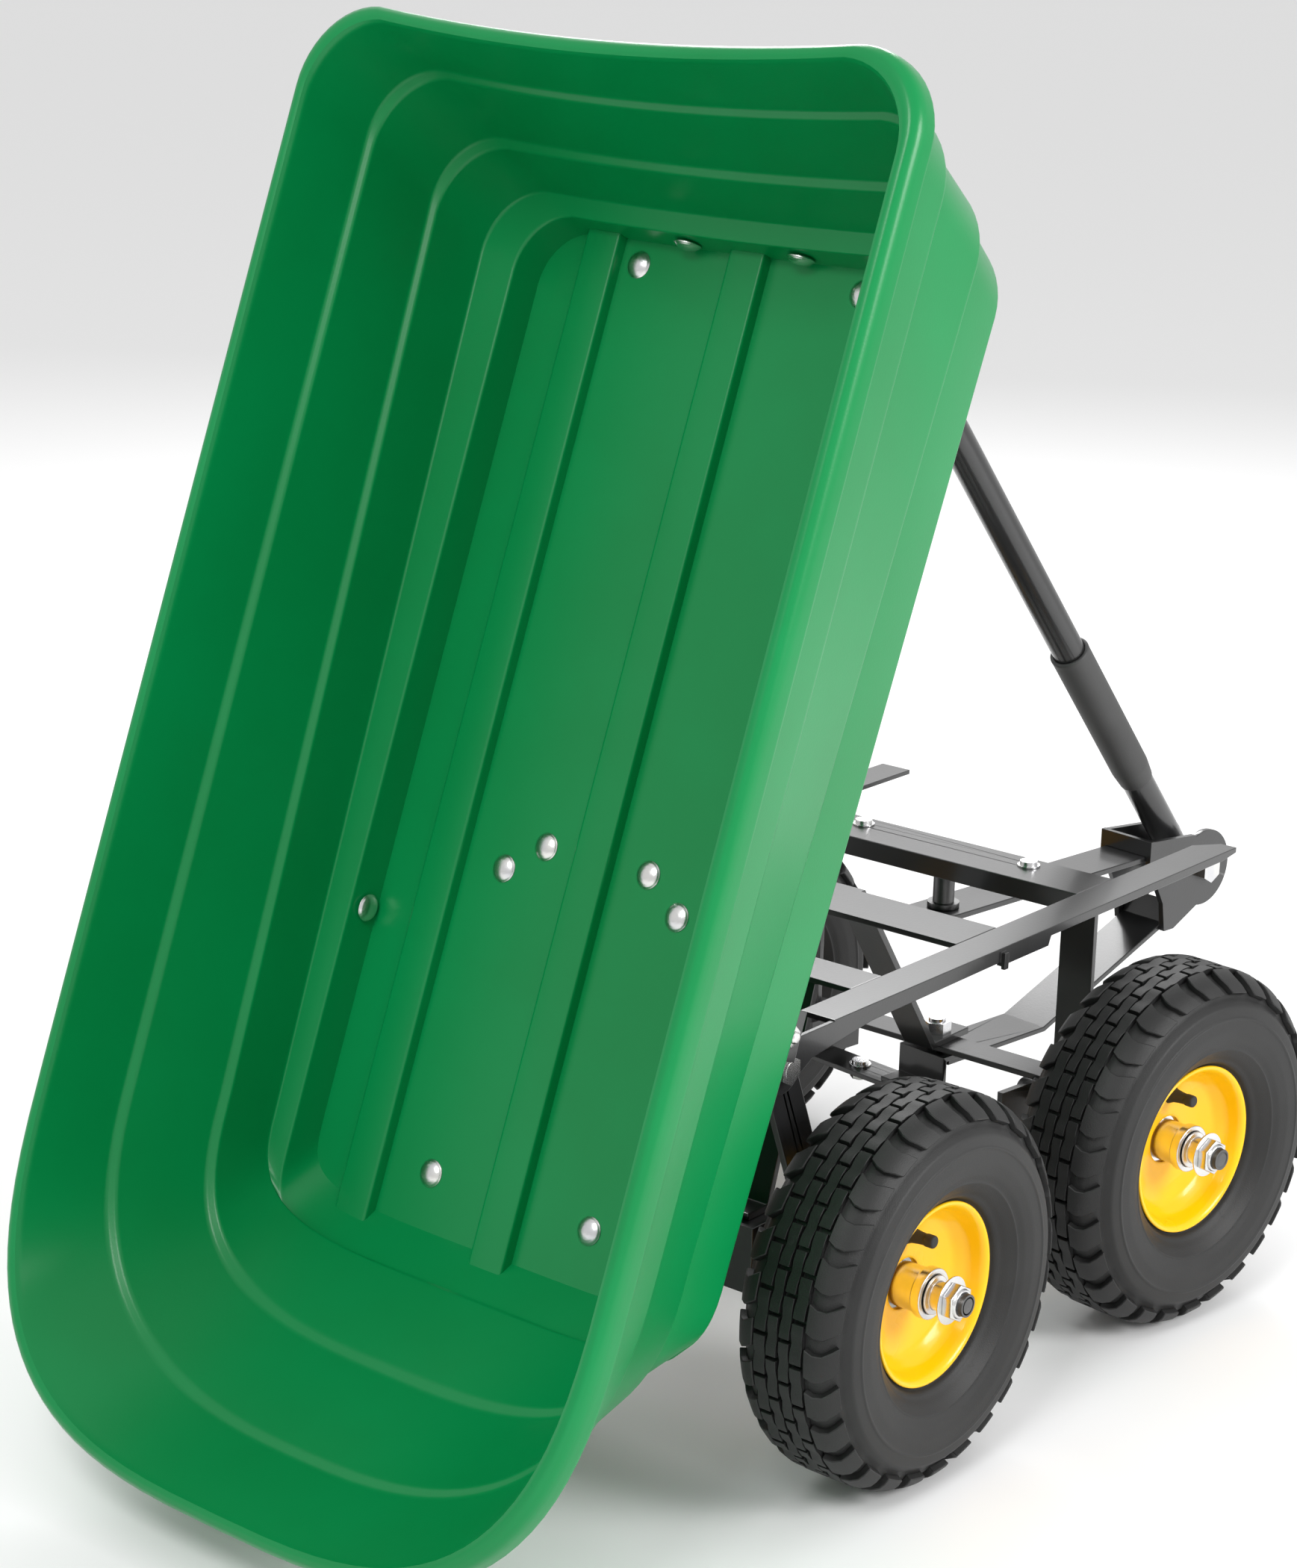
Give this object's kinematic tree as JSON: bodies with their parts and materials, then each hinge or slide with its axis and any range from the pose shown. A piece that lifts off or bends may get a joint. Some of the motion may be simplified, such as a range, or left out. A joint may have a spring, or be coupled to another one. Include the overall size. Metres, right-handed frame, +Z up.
{
  "type": "tow-behind tipping cart",
  "caption": "Garden dump cart with a moulded tipping tray, a black steel chassis on pneumatic wheels, a steered front axle and a fold-back tow handle.",
  "frame": {"origin": "on the ground under the middle of the bounding box, tray tipped and handle leaning back as at rest", "axes": "+X forwards to the tow handle, +Y left, +Z up"},
  "size_m": [1.0622, 0.536, 0.902],
  "materials": {
    "green_poly": "satin moulded",
    "black_paint": "gloss powder coat",
    "yellow_paint": "gloss",
    "tyre": "matte tread, satin sidewall",
    "zinc": "zinc plated",
    "axle_steel": "plain",
    "grip_rubber": "matte",
    "grey_sleeve": "matte"
  },
  "bodies": {
    "chassis": {"rail_right": "black_paint", "rail_left": "black_paint", "cross_angle": "black_paint", "cross_brackets": "black_paint", "cross_plate": "black_paint", "rear_cross": "black_paint", "front_posts": "black_paint", "lower_beam": "black_paint", "centre_leg": "black_paint", "king_bolt": "zinc", "king_pin": "axle_steel", "rear_legs": "black_paint", "rear_beam": "black_paint", "rear_struts": "black_paint", "rear_axle": "axle_steel", "pivot_bolts": "zinc", "frame_bolts": "zinc", "rear_axle_hardware": "zinc"},
    "tray": {"tray": "green_poly", "hinge_brackets": "black_paint", "tray_runners": "black_paint", "front_plate": "zinc", "tray_bolts": "zinc", "latch_bracket": "black_paint", "latch_pin": "zinc"},
    "latch": {"latch_lever": "black_paint", "latch_grip": "grip_rubber"},
    "steering": {"fork_bar": "black_paint", "end_plates": "black_paint", "king_bracket": "black_paint", "draw_strap": "black_paint", "upper_arm": "black_paint", "yoke": "black_paint", "handle_bolt": "zinc", "fork_bolts": "zinc", "stub_axles": "axle_steel", "front_axle_hardware": "zinc"},
    "handle": {"handle_eye": "black_paint", "handle_tube": "black_paint", "handle_sleeve": "grey_sleeve", "grip_frame": "black_paint", "grip_pad": "grip_rubber", "hitch_plate": "black_paint"},
    "wheel_rear_right": {"tyre_rear_right": "tyre", "rim_rear_right": "yellow_paint", "hub_rear_right": "zinc", "valve_rear_right": "grip_rubber"},
    "wheel_rear_left": {"tyre_rear_left": "tyre", "rim_rear_left": "yellow_paint", "hub_rear_left": "zinc", "valve_rear_left": "grip_rubber"},
    "wheel_front_right": {"tyre_front_right": "tyre", "rim_front_right": "yellow_paint", "hub_front_right": "zinc", "valve_front_right": "grip_rubber"},
    "wheel_front_left": {"tyre_front_left": "tyre", "rim_front_left": "yellow_paint", "hub_front_left": "zinc", "valve_front_left": "grip_rubber"}
  },
  "joints": [
    {"name": "tray_tip", "type": "hinge", "parent": "chassis", "child": "tray", "pos_m": [-0.19756, 0, 0.278], "axis": [0, 1, 0], "range_deg": [0, 69]},
    {"name": "latch_turn", "type": "hinge", "parent": "tray", "child": "latch", "pos_m": [-0.03452, 0, 0.73064], "axis": [0, 1, 0], "range_deg": [0, 32]},
    {"name": "steer", "type": "hinge", "parent": "chassis", "child": "steering", "pos_m": [0.21244, 0, 0.1435], "axis": [0, 0, 1], "range_deg": [-21, 35]},
    {"name": "handle_tilt", "type": "hinge", "parent": "steering", "child": "handle", "pos_m": [0.4973, -0.03498, 0.226], "axis": [0.1219, 0.9925, 0], "range_deg": [0, 98]},
    {"name": "spin_rear_right", "type": "hinge", "parent": "chassis", "child": "wheel_rear_right", "pos_m": [-0.13756, -0.216, 0.13], "axis": [0, 1, 0], "continuous": true},
    {"name": "spin_rear_left", "type": "hinge", "parent": "chassis", "child": "wheel_rear_left", "pos_m": [-0.13756, 0.216, 0.13], "axis": [0, 1, 0], "continuous": true},
    {"name": "spin_front_right", "type": "hinge", "parent": "steering", "child": "wheel_front_right", "pos_m": [0.18612, -0.21439, 0.13], "axis": [0.1219, 0.9925, 0], "continuous": true},
    {"name": "spin_front_left", "type": "hinge", "parent": "steering", "child": "wheel_front_left", "pos_m": [0.23876, 0.21439, 0.13], "axis": [0.1219, 0.9925, 0], "continuous": true}
  ],
  "couplings": [
    {"joint": "handle_tilt", "follows": "tray_tip", "ratio": 1.4203}
  ]
}
